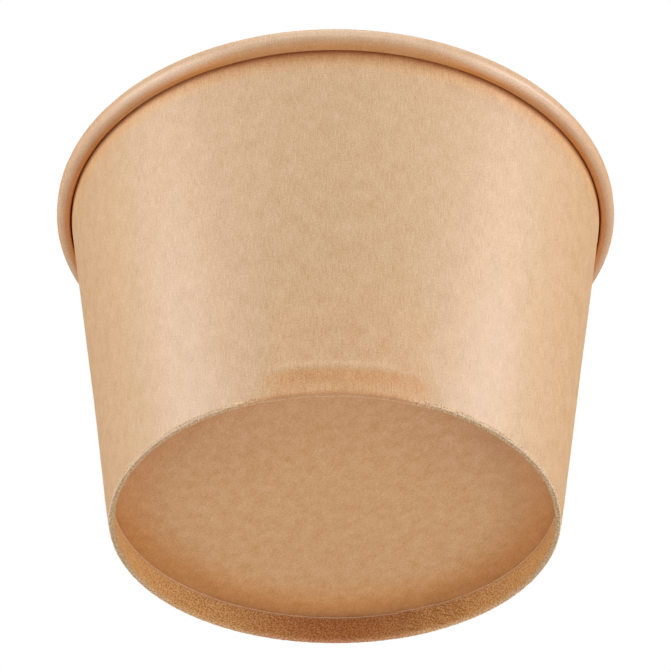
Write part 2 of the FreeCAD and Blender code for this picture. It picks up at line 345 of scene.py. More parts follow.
@dataclass(frozen=True)
class CutEdge:
    """The board's raw cut edge: pale torn fibre."""

    name: str = "cut_edge"
    dark: Shade = (224, 172, 128)
    light: Shade = (255, 220, 184)
    relief: float = 0.02 * MM

    def make(self) -> bpy.types.Material:
        """Build the material.

        Returns:
            The material, which is pale and matt.
        """
        material = bpy.data.materials.new(self.name)
        material.use_nodes = True
        graph = Graph(material.node_tree)
        place = graph.node("ShaderNodeTexCoord", {}, {}).outputs["Object"]
        fibre = graph.grain(place, 0.18 * MM, 0.18 * MM, 2.0)
        colour = graph.blend(fibre.step(0.3, 0.7), linear(*self.dark), linear(*self.light))
        bump = graph.node("ShaderNodeBump", {}, {"Strength": 1.0, "Distance": self.relief, "Height": fibre})
        shader = graph.node("ShaderNodeBsdfPrincipled", {}, {
            "Base Color": colour, "Roughness": 0.85, "Normal": bump.outputs[0], "Specular IOR Level": 0.2,
        })
        graph.node("ShaderNodeOutputMaterial", {}, {"Surface": shader.outputs[0]})
        return material


# ---------------------------------------------------------------- the board's section


class Face(Enum):
    """The board's three kinds of surface, in the order of a piece's materials."""

    OUTSIDE = 0
    LINING = 1
    CUT = 2


class Zone(Enum):
    """The stretches met on the way round a board's section."""

    HEM = auto()
    HEM_LIP = auto()
    FOOT = auto()
    SKIRT = auto()
    WALL = auto()
    ROLL_INSIDE = auto()
    TAIL_CUT = auto()
    ROLL = auto()
    LINING = auto()
    POCKET = auto()
    HEM_CUT = auto()
    UNDERSIDE = auto()
    RIM = auto()
    RIM_CUT = auto()
    TOPSIDE = auto()


FACE_OF = {
    Zone.HEM: Face.OUTSIDE, Zone.HEM_LIP: Face.CUT, Zone.FOOT: Face.OUTSIDE, Zone.SKIRT: Face.OUTSIDE,
    Zone.WALL: Face.OUTSIDE, Zone.ROLL_INSIDE: Face.OUTSIDE, Zone.TAIL_CUT: Face.CUT, Zone.ROLL: Face.LINING,
    Zone.LINING: Face.LINING, Zone.POCKET: Face.LINING, Zone.HEM_CUT: Face.CUT, Zone.UNDERSIDE: Face.OUTSIDE,
    Zone.RIM: Face.OUTSIDE, Zone.RIM_CUT: Face.CUT, Zone.TOPSIDE: Face.LINING,
}


def smooth(value: np.ndarray, low: float, high: float) -> np.ndarray:
    """A smooth step from 0 at low to 1 at high."""
    share = np.clip((value - low) / (high - low), 0.0, 1.0)
    return share * share * (3.0 - 2.0 * share)


def bell(value: np.ndarray, centre: float, width: float) -> np.ndarray:
    """A bell curve of height 1."""
    return np.exp(-(((value - centre) / width) ** 2))


def sweep(angle: np.ndarray, low: float, high: float) -> np.ndarray:
    """A smooth step over an angle in radians, between two angles in degrees."""
    return smooth(angle, math.radians(low), math.radians(high))


def swell(angle: np.ndarray, centre: float, width: float) -> np.ndarray:
    """A bell curve over an angle in radians, with its centre and width in degrees."""
    return bell(angle, math.radians(centre), math.radians(width))


@dataclass
class Section:
    """Points round the closed section of a board, in radius and height, each in its zone."""

    points: list[Point] = field(default_factory=list)
    zones: list[Zone] = field(default_factory=list)

    def start(self, point: Point, zone: Zone) -> None:
        """Put one point."""
        self.points.append(point)
        self.zones.append(zone)

    def line(self, end: Point, steps: int, zone: Zone) -> None:
        """Go straight to a point in equal steps.

        Args:
            end: the point to reach.
            steps: how many points to add, the last at end.
            zone: the zone of the new points.
        """
        begin = self.points[-1]
        for number in range(1, steps + 1):
            share = number / steps
            point = (begin[0] + (end[0] - begin[0]) * share, begin[1] + (end[1] - begin[1]) * share)
            self.start(point, zone)

    def arc(self, centre: Point, radius: float, first: float, last: float, steps: int, zone: Zone) -> None:
        """Go round a centre in equal steps.

        Args:
            centre: the arc's centre.
            radius: its radius.
            first: the angle to start from, in radians, where no point is added.
            last: the angle to end at.
            steps: how many points to add.
            zone: the zone of the new points.
        """
        for number in range(1, steps + 1):
            angle = first + (last - first) * number / steps
            self.start((centre[0] + radius * math.cos(angle), centre[1] + radius * math.sin(angle)), zone)

    def normals(self) -> np.ndarray:
        """The directions that point out of the board.

        Returns:
            A unit normal for each point.
        """
        places = np.array(self.points)
        ahead = np.roll(places, -1, axis=0) - places
        behind = places - np.roll(places, 1, axis=0)
        ahead /= np.maximum(np.linalg.norm(ahead, axis=1, keepdims=True), 1e-12)
        behind /= np.maximum(np.linalg.norm(behind, axis=1, keepdims=True), 1e-12)
        along = ahead + behind
        along /= np.maximum(np.linalg.norm(along, axis=1, keepdims=True), 1e-12)
        return np.stack([along[:, 1], -along[:, 0]], axis=1)

    def travel(self) -> np.ndarray:
        """The distance along the section to each point."""
        steps = np.linalg.norm(np.diff(np.array(self.points), axis=0), axis=1)
        return np.concatenate([[0.0], np.cumsum(steps)])


@dataclass(frozen=True)
class Line:
    """A straight face of the board in its section, from one point to another."""

    start: Point
    end: Point

    @property
    def along(self) -> Point:
        """The unit direction from start to end."""
        length = math.dist(self.start, self.end)
        return ((self.end[0] - self.start[0]) / length, (self.end[1] - self.start[1]) / length)

    @property
    def out(self) -> Point:
        """The unit normal on the right of the direction, which is away from the axis on a wall."""
        return (self.along[1], -self.along[0])

    def moved(self, distance: float) -> "Line":
        """The same line moved out.

        Args:
            distance: how far to move it, in metres.

        Returns:
            The moved line.
        """
        shift = (self.out[0] * distance, self.out[1] * distance)
        return Line((self.start[0] + shift[0], self.start[1] + shift[1]),
                    (self.end[0] + shift[0], self.end[1] + shift[1]))

    def depth(self, point: Point) -> float:
        """How far out of the line a point lies."""
        return (point[0] - self.start[0]) * self.out[0] + (point[1] - self.start[1]) * self.out[1]

    def at_height(self, height: float) -> Point:
        """The point of the line at a height."""
        share = (height - self.start[1]) / (self.end[1] - self.start[1])
        return (self.start[0] + (self.end[0] - self.start[0]) * share, height)

    def meet(self, other: "Line") -> Point:
        """The point where two lines cross.

        Args:
            other: the other line.

        Returns:
            The point, in radius and height.
        """
        rise = other.depth(self.start)
        slope = self.along[0] * other.out[0] + self.along[1] * other.out[1]
        return (self.start[0] - self.along[0] * rise / slope, self.start[1] - self.along[1] * rise / slope)


@dataclass(frozen=True)
class Ripple:
    """Gentle unevenness of pressed board, the same on each run.

    height is about the largest rise, around and along are the shortest waves, in metres and radians.
    """

    seed: int
    height: float
    around: int
    along: float
    terms: int = 28

    def __call__(self, azimuth: np.ndarray, travel: np.ndarray) -> np.ndarray:
        """The rise at each place.

        Args:
            azimuth: how far round each place is, in radians.
            travel: how far along the section it is, in metres.

        Returns:
            The rises, in the shape that the two make together.
        """
        draw = np.random.default_rng(self.seed)
        total = np.zeros(np.broadcast(azimuth, travel).shape)
        for _ in range(self.terms):
            turns = draw.integers(1, self.around + 1)
            waves = draw.uniform(-1.0, 1.0) * 2.0 * math.pi / self.along
            total += np.cos(turns * azimuth + waves * travel + draw.uniform(0.0, 2.0 * math.pi))
        return total * self.height / math.sqrt(2.0 * self.terms)


# ---------------------------------------------------------------- shared form


@dataclass(frozen=True)
class BowlForm:
    """Sizes that the two boards share. The rim's radius and height come from the frame."""

    rim_radius: float
    rim_height: float
    foot_radius: float = 43.0 * MM
    wall_board: float = 0.42 * MM
    base_board: float = 0.36 * MM
    bond_gap: float = 0.03 * MM
    recess_depth: float = 6.2 * MM
    hem_clearance: float = 0.08 * MM
    heel_rise: float = 1.12 * MM
    fold_outside: float = 0.36 * MM
    fold_inside: float = 0.40 * MM
    rim_lift: float = 0.15 * MM
    disc_bend: float = 0.3 * MM
    curl_width: float = 2.9 * MM
    curl_height: float = 3.88 * MM
    curl_gap: float = 0.24 * MM
    tail_length: float = 1.2 * MM
    lap_edge: float = math.radians(72.7)
    lap_angle: float = math.radians(9.5)
    ramp_angle: float = math.radians(2.4)
    lean_back: float = 0.30 * MM
    lean_left: float = 0.12 * MM
    three_sided: float = 0.25 * MM
    dent: float = 0.22 * MM
    dent_turn: float = math.radians(40.0)
    dent_angle: float = math.radians(22.0)
    dent_height: float = 30 * MM
    press_in: float = 0.30 * MM
    press_low: float = 1.0 * MM
    press_high: float = 4.5 * MM
    rim_tuck: float = 0.35 * MM

    @classmethod
    def from_frame(cls) -> "BowlForm":
        """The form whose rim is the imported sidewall's."""
        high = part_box("sidewall")[1]
        return cls(rim_radius=high.x, rim_height=high.z)

    @property
    def heel(self) -> Point:
        """Where the wall's outer face kinks, level with the top of the base."""
        return (self.foot_radius + self.heel_rise, self.recess_depth + self.base_board)

    @property
    def skirt(self) -> Line:
        """The sidewall's outer face below the heel."""
        return Line((self.foot_radius, 0.0), self.heel)

    @property
    def wall(self) -> Line:
        """The sidewall's outer face above the heel, up to half the curl's height."""
        shoulder = (self.rim_radius - self.curl_width, self.rim_height - self.curl_height / 2)
        return Line(self.heel, shoulder)

    @property
    def fold_width(self) -> float:
        """The thickness of the folded foot: two layers of wall with the base's rim between."""
        return 2 * self.wall_board + self.base_board + 2 * self.bond_gap

    @property
    def seam(self) -> float:
        """The azimuth of the lap's inner edge."""
        return self.lap_edge - self.lap_angle

    def dented(self, azimuth: np.ndarray, radius: np.ndarray, height: np.ndarray) -> np.ndarray:
        """How far the board is drawn in: an uneven foot, its pressed front and the back of the rim.

        Args:
            azimuth: the azimuth of each point, in radians.
            radius: its radius.
            height: its height.

        Returns:
            The distance toward the axis, which both boards share.
        """
        turn = turn_from_front(azimuth)
        oval = self.lean_back * np.cos(turn) + self.lean_left * np.sin(turn)
        oval = oval - self.three_sided * np.cos(3 * turn)
        oval = oval + self.dent * bell(turn, self.dent_turn, self.dent_angle)
        front = self.press_in * self.pressed(azimuth) * (1 - smooth(height, self.press_low, self.press_high))
        outer = smooth(radius, 0.55 * self.foot_radius, self.foot_radius)
        back = sweep(np.abs(turn), 92.0, 125.0) * smooth(height, 40 * MM, 70 * MM)
        return (oval * (1 - smooth(height, 0.0, self.dent_height)) + front) * outer + self.rim_tuck * back

    @staticmethod
    def pressed(azimuth: np.ndarray) -> np.ndarray:
        """Where round the front the foot was pressed in, from 0 to 1."""
        right = turn_from_front(azimuth)
        return sweep(right, -21.0, -12.0) * (1 - sweep(right, 19.0, 27.0))


def ring_of(columns: np.ndarray, radius: np.ndarray, height: np.ndarray) -> np.ndarray:
    """Points of a turned surface.

    Args:
        columns: the azimuth of each column.
        radius: the radius of each row and column.
        height: the height of each row and column.

    Returns:
        An array of rows, columns and coordinates.
    """
    return np.stack([radius * np.cos(columns), radius * np.sin(columns), height], axis=2)


def turn_from_front(azimuth: np.ndarray) -> np.ndarray:
    """The angle of each azimuth from the front, -pi to pi and positive toward the right."""
    return np.angle(np.exp(1j * (azimuth + 0.5 * math.pi)))


def quads(rows: int, columns: int, closed_rows: bool) -> np.ndarray:
    """The faces of a grid whose columns close on themselves.

    Args:
        rows: how many rows of points there are.
        columns: how many columns there are.
        closed_rows: whether the last row joins the first.

    Returns:
        An array of faces, row by row, each of four point numbers.
    """
    row = np.arange(rows if closed_rows else rows - 1)[:, None]
    column = np.arange(columns)[None, :]
    above = (row + 1) % rows
    beside = (column + 1) % columns
    corners = [row * columns + column, row * columns + beside,
               above * columns + beside, above * columns + column]
    return np.stack(corners, axis=2).reshape(-1, 4)


def mesh_object(name: str, points: np.ndarray, faces: list, blank: np.ndarray, face_kinds: np.ndarray,
                marks: dict[str, np.ndarray], finishes: list[bpy.types.Material]) -> bpy.types.Object:
    """Make a mesh object with its blank map, its marks and its finishes.

    Args:
        name: the object's name.
        points: the place of each point.
        faces: the point numbers of each face.
        blank: each point's place on the flat blank, in metres.
        face_kinds: the finish number of each face.
        marks: numbers stored for each point, by name.
        finishes: the materials, by their numbers.

    Returns:
        The object, linked into the scene.
    """
    mesh = bpy.data.meshes.new(name)
    mesh.from_pydata(points.tolist(), [], faces)
    for finish in finishes:
        mesh.materials.append(finish)
    mesh.polygons.foreach_set("material_index", face_kinds.astype(np.int32))
    layer = mesh.uv_layers.new(name=BLANK_MAP)
    corners = np.zeros(len(mesh.loops), np.int32)
    mesh.loops.foreach_get("vertex_index", corners)
    layer.uv.foreach_set("vector", blank[corners].astype(np.float32).ravel())
    for mark, values in marks.items():
        attribute = mesh.attributes.new(mark, "FLOAT", "POINT")
        attribute.data.foreach_set("value", values.astype(np.float32).ravel())
    mesh.shade_smooth()
    mesh.set_sharp_from_angle(angle=SHARP_ANGLE)
    mesh.update()
    piece = bpy.data.objects.new(name, mesh)
    bpy.context.scene.collection.objects.link(piece)
    return piece


# ---------------------------------------------------------------- sidewall


@dataclass
class Sidewall:
    """The sidewall's one blank: cone, side lap, rolled rim and folded hem."""

    form: BowlForm
    columns: int = 640
    cliff: float = math.radians(0.012)
    press: float = 0.04 * MM
    lap_fade: float = 1.2 * MM
    roll_lap: float = 0.25
    curl_corner: float = 0.45 * MM
    bow: float = -0.08 * MM
    ridge: float = 0.12 * MM
    ridge_height: float = 5.5 * MM
    ridge_width: float = 0.6 * MM
    recess_top: float = 5.4 * MM
    recess_fade: float = 3.6 * MM
    scallop: float = 0.4 * MM
    hem_lap: float = 0.55
    lip_height: float = 0.24 * MM
    lip_flare: float = 0.10 * MM
    lip_drop: float = 0.14 * MM

    def draw(self) -> Section:
        """Draw the closed section, from the hem's raw edge down and round.

        Returns:
            The section.
        """
        form = self.form
        section = Section()
        skirt, wall, board = form.skirt, form.wall, form.wall_board
        hem = skirt.moved(-form.fold_width)
        hem_top = hem.at_height(form.recess_depth - form.hem_clearance)
        lip = hem.moved(-self.lip_flare).at_height(hem_top[1])
        lean = math.atan2(skirt.out[1], skirt.out[0])

        section.start(lip, Zone.HEM_LIP)
        section.line(hem.at_height(hem_top[1] - self.lip_height), 2, Zone.HEM_LIP)
        corner = form.fold_inside
        inner = hem.moved(corner).at_height(corner)
        inner_start = (inner[0] - corner * math.cos(lean), inner[1] - corner * math.sin(lean))
        section.line(inner_start, 13, Zone.HEM)
        section.arc(inner, corner, math.pi + lean, 1.5 * math.pi, 5, Zone.FOOT)
        corner = form.fold_outside
        outer = skirt.moved(-corner).at_height(corner)
        section.line((outer[0], 0.0), 2, Zone.FOOT)
        section.arc(outer, corner, -0.5 * math.pi, lean, 6, Zone.FOOT)
        section.line(skirt.end, 13, Zone.SKIRT)
        section.line(wall.at_height(wall.start[1] + 3.0 * MM), 8, Zone.WALL)
        section.line(wall.end, 22, Zone.WALL)
        self._roll(section, wall)

        lining, pocket = wall.moved(-board), skirt.moved(-board)
        section.line(lining.meet(pocket), 20, Zone.LINING)
        section.line(pocket.at_height(board), 2, Zone.POCKET)
        gap = hem.moved(board)
        section.line(gap.at_height(board), 1, Zone.POCKET)
        section.line(gap.at_height(hem_top[1] - self.lip_drop), 2, Zone.POCKET)
        section.zones[0] = Zone.HEM_CUT
        return section

    def _roll(self, section: Section, wall: Line) -> None:
        """Add the rolled rim: its hidden inside, the raw edge tucked in it, and its visible outside.

        Args:
            section: the section, which has come up to the wall's top.
            wall: the wall's outer face.
        """
        form, board = self.form, self.form.wall_board
        lean = math.atan2(wall.out[1], wall.out[0])
        side = form.rim_radius - board
        squeeze = wall.out[0] - wall.out[1]
        crown = form.rim_height - board
        top_radius = wall.depth((side, crown)) / (1 + squeeze)
        top = (side - top_radius, crown - top_radius)
        belly = form.rim_height - form.curl_height + board
        clear = board + form.curl_gap
        under_radius = (wall.depth((side, belly)) - clear) / (1 + wall.out[0] + wall.out[1])
        under = (side - under_radius, belly + under_radius)

        section.arc(top, top_radius, math.pi + lean, 0.0, 5, Zone.ROLL_INSIDE)
        section.line((side, under[1]), 1, Zone.ROLL_INSIDE)
        section.arc(under, under_radius, 0.0, lean - math.pi, 5, Zone.ROLL_INSIDE)
        tail = wall.moved(clear)
        foot = tail.at_height(section.points[-1][1])
        tip = (foot[0] + tail.along[0] * form.tail_length, foot[1] + tail.along[1] * form.tail_length)
        section.line(tip, 2, Zone.ROLL_INSIDE)
        section.line((tip[0] - wall.out[0] * board, tip[1] - wall.out[1] * board), 1, Zone.TAIL_CUT)
        corner, bottom = self.curl_corner, form.rim_height - form.curl_height
        nook = wall.moved(form.curl_gap + corner).at_height(bottom + corner)
        section.line((nook[0] - corner * wall.out[0], nook[1] - corner * wall.out[1]), 1, Zone.ROLL)
        section.arc(nook, corner, lean - math.pi, -0.5 * math.pi, 4, Zone.ROLL)
        section.line((under[0], bottom), 3, Zone.ROLL)
        section.arc(under, under_radius + board, -0.5 * math.pi, 0.0, 9, Zone.ROLL)
        section.line((form.rim_radius, top[1]), 2, Zone.ROLL)
        section.arc(top, top_radius + board, 0.0, math.pi + lean, 20, Zone.ROLL)

    def azimuths(self) -> np.ndarray:
        """The columns' azimuths, from just past the lap's outer edge right round to it.

        Returns:
            Azimuths in radians, with two close together at each raw edge of the lap.
        """
        form = self.form
        start = form.lap_edge - 2 * math.pi
        even = start + np.arange(1, self.columns) * 2 * math.pi / self.columns
        apart = np.abs(even - form.seam) > math.radians(0.25)
        edges = [start + self.cliff / 2, form.seam - self.cliff / 2, form.seam + self.cliff / 2,
                 form.lap_edge - self.cliff / 2]
        return np.sort(np.concatenate([even[apart], edges]))

    def shape(self, section: Section, azimuth: np.ndarray) -> tuple[np.ndarray, dict[str, np.ndarray]]:
        """Turn the section, with its lap and its unevenness.

        Args:
            section: the closed section.
            azimuth: the columns' azimuths.

        Returns:
            The points by row and column, and the marks of wear, painted highlight and painted shade by name.
        """
        form = self.form
        places = np.array(section.points)
        normals = section.normals()
        travel = section.travel()[:, None]
        height = places[:, 1][:, None]
        turn = azimuth[None, :]

        def in_zone(*zones: Zone) -> np.ndarray:
            """1 on the rows of these zones and 0 elsewhere."""
            return np.array([zone in zones for zone in section.zones], float)[:, None]

        hem = in_zone(Zone.HEM, Zone.HEM_LIP, Zone.HEM_CUT)
        inward = (-form.skirt.out[0], -form.skirt.out[1])
        normals = np.where(hem > 0, inward, normals)
        outside = in_zone(Zone.FOOT, Zone.SKIRT, Zone.WALL) + self.hem_lap * hem
        lining, roll, board = in_zone(Zone.LINING), in_zone(Zone.ROLL), in_zone(Zone.SKIRT, Zone.WALL)
        curl_bottom = form.rim_height - form.curl_height

        climb = smooth(turn, form.seam - form.ramp_angle, form.seam)
        lapped = climb * (turn < form.lap_edge)
        step = smooth(height, 0.0, self.lap_fade)
        step = step * (1 - smooth(height, curl_bottom - self.lap_fade, curl_bottom))
        rise = form.wall_board * outside * step * lapped
        tucked = climb * (turn < form.seam)
        squeezed = 1 - (1 - self.roll_lap) * smooth(height, curl_bottom - 6 * self.lap_fade,
                                                    curl_bottom - 2 * self.lap_fade)
        inset = lining * squeezed * smooth(height, form.heel[1], form.heel[1] + self.lap_fade)
        rise = rise - form.wall_board * tucked * (inset + roll * self.roll_lap)
        foot = in_zone(Zone.FOOT, Zone.SKIRT) * (1 - smooth(height, 0.0, self.lap_fade))
        rise = rise - self.press * foot * (1 - lapped)

        share = np.clip((height - form.heel[1]) / (curl_bottom - form.heel[1]), 0.0, 1.0)
        walls = board - lining
        rise = rise + walls * self.bow * np.sin(math.pi * share ** 0.7)
        rise = rise + walls * Ripple(11, 0.035 * MM, 22, 26 * MM)(turn, travel) * smooth(share, 0.0, 0.2) \
            * (1 - smooth(share, 0.85, 1.0))
        rise = rise + board * self._heel(height, turn)
        rise = rise + in_zone(Zone.HEM) * Ripple(5, 0.05 * MM, 120, 2.2 * MM)(turn, travel) \
            * smooth(height, 0.0, 1.2 * MM)
        rise = rise + in_zone(Zone.FOOT) * Ripple(17, 0.03 * MM, 250, 3 * MM)(turn, travel)
        rise = rise + roll * Ripple(8, 0.012 * MM, 60, 8 * MM)(turn, travel) - roll * 0.02 * MM

        radius = places[:, 0][:, None] + normals[:, 0][:, None] * rise
        level = places[:, 1][:, None] + normals[:, 1][:, None] * rise
        ragged = Ripple(3, 0.03 * MM, 160, 1.0)(turn, 0.0 * travel)
        level = level + ragged * smooth(height, 4.6 * MM, 5.8 * MM) * hem
        radius = radius - form.dented(turn, radius, level)
        low, high = CAD_BOX
        radius = np.minimum(radius, high.x)
        level = np.clip(level, low.z, high.z)
        marks = {name: mark + 0.0 * turn for name, mark in self._marks(in_zone, places, turn).items()}
        return ring_of(turn, radius, level), marks

    def _marks(self, in_zone: Callable[..., np.ndarray], places: np.ndarray, turn: np.ndarray) \
            -> dict[str, np.ndarray]:
        """Where the board shows wear, crumbling, knurling or creases, and where highlights and shade are
        painted on it.

        Args:
            in_zone: gives 1 on the rows of some zones and 0 elsewhere.
            places: the section's points.
            turn: the columns' azimuths.

        Returns:
            The marks by name.
        """
        form = self.form
        radius, height = places[:, 0][:, None], places[:, 1][:, None]
        depth = np.array([form.wall.depth(place) for place in places])[:, None]
        hem, foot, wall = in_zone(Zone.HEM), in_zone(Zone.FOOT), in_zone(Zone.WALL)
        board, roll = in_zone(Zone.SKIRT, Zone.WALL), in_zone(Zone.ROLL)

        right = turn_from_front(turn)
        away = np.abs(right)
        front = 1 - sweep(away, 14.0, 34.0)
        far = sweep(away, 105.0, 140.0)
        back = sweep(away, 144.0, 178.0)
        side = 1 - front - far
        sideward = smooth(away, 0.4, 1.1)

        curl_bottom = form.rim_height - form.curl_height
        below = curl_bottom - height
        middle = form.rim_radius - 0.5 * form.curl_width
        # painted warm shade on the lower face of the curl
        reach = 0.2 * MM + 0.7 * MM * front
        lower = roll * (1 - smooth(height - curl_bottom, 0.2 * reach, reach)) * (1 - 0.5 * front)
        # under the curl: painted shade in its inner corner at the sides, and a painted highlight on its outer
        # half
        underneath = roll * (height < curl_bottom + 1.6 * MM)
        outward = smooth(radius, middle - 0.55 * MM, middle + 0.10 * MM)
        nook = underneath * (1 - outward) * sideward
        belly = underneath * outward * smooth(away, 0.2, 0.6)
        lower = np.maximum(lower * (1 - sideward), nook)
        # painted shade in the crevice between the curl and the wall, less on the right
        crevice = roll * (height < curl_bottom + MM) * (1 - sweep(right, 30.0, 60.0))
        crevice = crevice * (1 - smooth(depth, form.curl_gap, form.curl_gap + 0.2 * MM))

        # painted shadow and warm shade on the wall under the curl, reaching further down at the front
        dusk = 1.8 * MM + 2.4 * MM * (1 - smooth(away, 0.35, 1.05))
        shadow = (0.22 + 0.12 * front) * (1 - smooth(below, 0.9 * MM, 3.5 * MM))
        shadow = shadow + 0.92 * (1 - smooth(below - 0.2 * MM * (1 - front), -0.3 * MM, 0.6 * MM))
        shadow = shadow + 0.12 * (1 - smooth(below, 2.5 * MM, 6.0 * MM)) * swell(right, 40.0, 12.0)

        # the foot: rubbed wear and a painted highlight on its outer corner, painted shade over the fold
        edge = form.foot_radius
        corner = in_zone(Zone.FOOT, Zone.SKIRT) * smooth(radius, edge - 0.30 * MM, edge - 0.12 * MM)
        corner = corner * bell(height, 0.14 * MM, 0.11 * MM)
        rim = smooth(radius, edge - 0.34 * MM, edge - 0.12 * MM)
        crest = foot * rim * (height < 0.2 * MM)
        inner = foot * (1 - smooth(radius, edge - 0.95 * MM, edge - 0.70 * MM))
        foot_shade = 0.42 * front * (1 - inner) + 0.06 * side + (0.28 + 0.37 * back) * far * (1 - rim)
        past = turn - form.lap_edge
        creases = swell(past, -4.0, 4.5) + 0.7 * swell(past, -16.0, 5.0)

        # the pressed front: painted shade and warm shade on the band above the foot and on the lower wall
        pressed = board * form.pressed(turn)
        heel = pressed * (1 - smooth(height, 4.3 * MM, 5.2 * MM))
        heel = heel * (0.65 + 0.35 * smooth(height, 1.9 * MM, 2.8 * MM))
        faded = pressed * (1 - smooth(height, 8 * MM, 30 * MM))
        # a painted highlight along the ridge line
        line = board * bell(height, self.ridge_height + 0.3 * MM, 0.5 * MM) * swell(right, 0.0, 11.0)
        return {
            # rubbed wear on the foot's crest and corner; painted highlights on that corner, the ridge line
            # and the curl's belly
            "wear_and_highlight": 1.2 * corner * side + 0.4 * crest * far + 0.14 * line
            + belly * (0.13 + 0.25 * swell(away, 30.0, 12.0)),
            "crumbled": foot * (0.7 * side + inner * (1 - far)),
            "knurled": hem * smooth(height, 0.3 * MM, 0.9 * MM) * (0.3 + 0.7 * sweep(away, 112.0, 140.0))
            + foot * (far + 3.0 * side),
            "creased": hem * creases,
            # painted warm shade: the hem, the curl's underside, the wall under the curl, the foot, the heel
            # and the lower front
            "painted_warm_shade": hem + lower + 0.22 * belly + 0.9 * wall * (1 - smooth(below, 0.25 * dusk, dusk))
            + foot * (0.7 * front + 0.75 * side + far) + 0.5 * heel + 0.15 * faded,
            # painted shade: the crevice and inner corner under the curl, the wall under it, the far hem, the
            # foot, the heel and the lower front
            "painted_shade": crevice + 0.10 * nook + wall * shadow + hem * 0.46 * back + foot * foot_shade
            + 0.27 * heel + 0.06 * faded,
        }

    def _heel(self, height: np.ndarray, turn: np.ndarray) -> np.ndarray:
        """The ridge where the base's bend presses the wall outward, and the wall drawn in under it.

        Args:
            height: the height of each row.
            turn: the columns' azimuths.

        Returns:
            The rise out of the wall.
        """
        form = self.form
        patches = np.clip(Ripple(21, 0.2, 14, 1.0)(turn, 0.0 * turn), 0.0, 0.3)
        strength = np.maximum(form.pressed(turn), patches)
        drop = self.scallop * sweep(turn_from_front(turn), 11.0, 16.0)
        ridge = self.ridge * bell(height, self.ridge_height - drop, self.ridge_width)
        top = self.recess_top - drop
        recess = smooth(height, form.press_low, form.press_high) - smooth(height, top - self.recess_fade, top)
        return strength * (ridge - form.press_in * recess)

    def blank(self, section: Section, azimuth: np.ndarray) -> np.ndarray:
        """Each point's place on the flat blank.

        Args:
            section: the closed section.
            azimuth: the columns' azimuths.

        Returns:
            Places in metres by row and column; the blank is part of a ring, and Y runs up its middle.
        """
        form = self.form
        spread = form.wall.along[0]
        travel = section.travel()
        rows = list(section.zones)
        first_lining = rows.index(Zone.ROLL)
        outer = np.arange(len(rows)) < first_lining
        there = travel[first_lining] - form.wall_board
        along = np.where(outer, travel, 2 * there + form.wall_board - travel)
        foot = form.foot_radius / spread
        reach = foot + along - along[rows.index(Zone.SKIRT)]
        middle = form.lap_edge - math.pi
        inside = np.where(azimuth < form.seam, azimuth, azimuth - 2 * math.pi)
        angle = (np.where(outer[:, None], azimuth[None, :], inside[None, :]) - middle) * spread
        return np.stack([reach[:, None] * np.sin(angle), reach[:, None] * np.cos(angle)], axis=2)

    def build(self, finishes: list[bpy.types.Material]) -> bpy.types.Object:
        """Make the piece and put it in its node's place.

        Args:
            finishes: the outside, the lining and the cut edge.

        Returns:
            The object.
        """
        section = self.draw()
        azimuth = self.azimuths()
        points, marks = self.shape(section, azimuth)
        rows, columns = points.shape[:2]
        faces = quads(rows, columns, closed_rows=True)
        kinds = np.array([[FACE_OF[zone].value] for zone in section.zones[1:] + section.zones[:1]])
        kinds = np.repeat(kinds, columns, axis=1)
        kinds[:, columns - 1] = np.where(kinds[:, columns - 1] == Face.OUTSIDE.value, Face.CUT.value,
                                         kinds[:, columns - 1])
        lapped = int(np.argmin(np.abs(azimuth - self.form.seam + self.cliff / 2)))
        kinds[:, lapped] = np.where(kinds[:, lapped] == Face.LINING.value, Face.CUT.value, kinds[:, lapped])
        blank = self.blank(section, azimuth).reshape(-1, 2)
        piece = mesh_object("bowl_sidewall", points.reshape(-1, 3), faces.tolist(), blank, kinds.ravel(),
                            {name: mark.ravel() for name, mark in marks.items()}, finishes)
        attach(piece, "root")
        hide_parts("sidewall")
        return piece


# ---------------------------------------------------------------- base


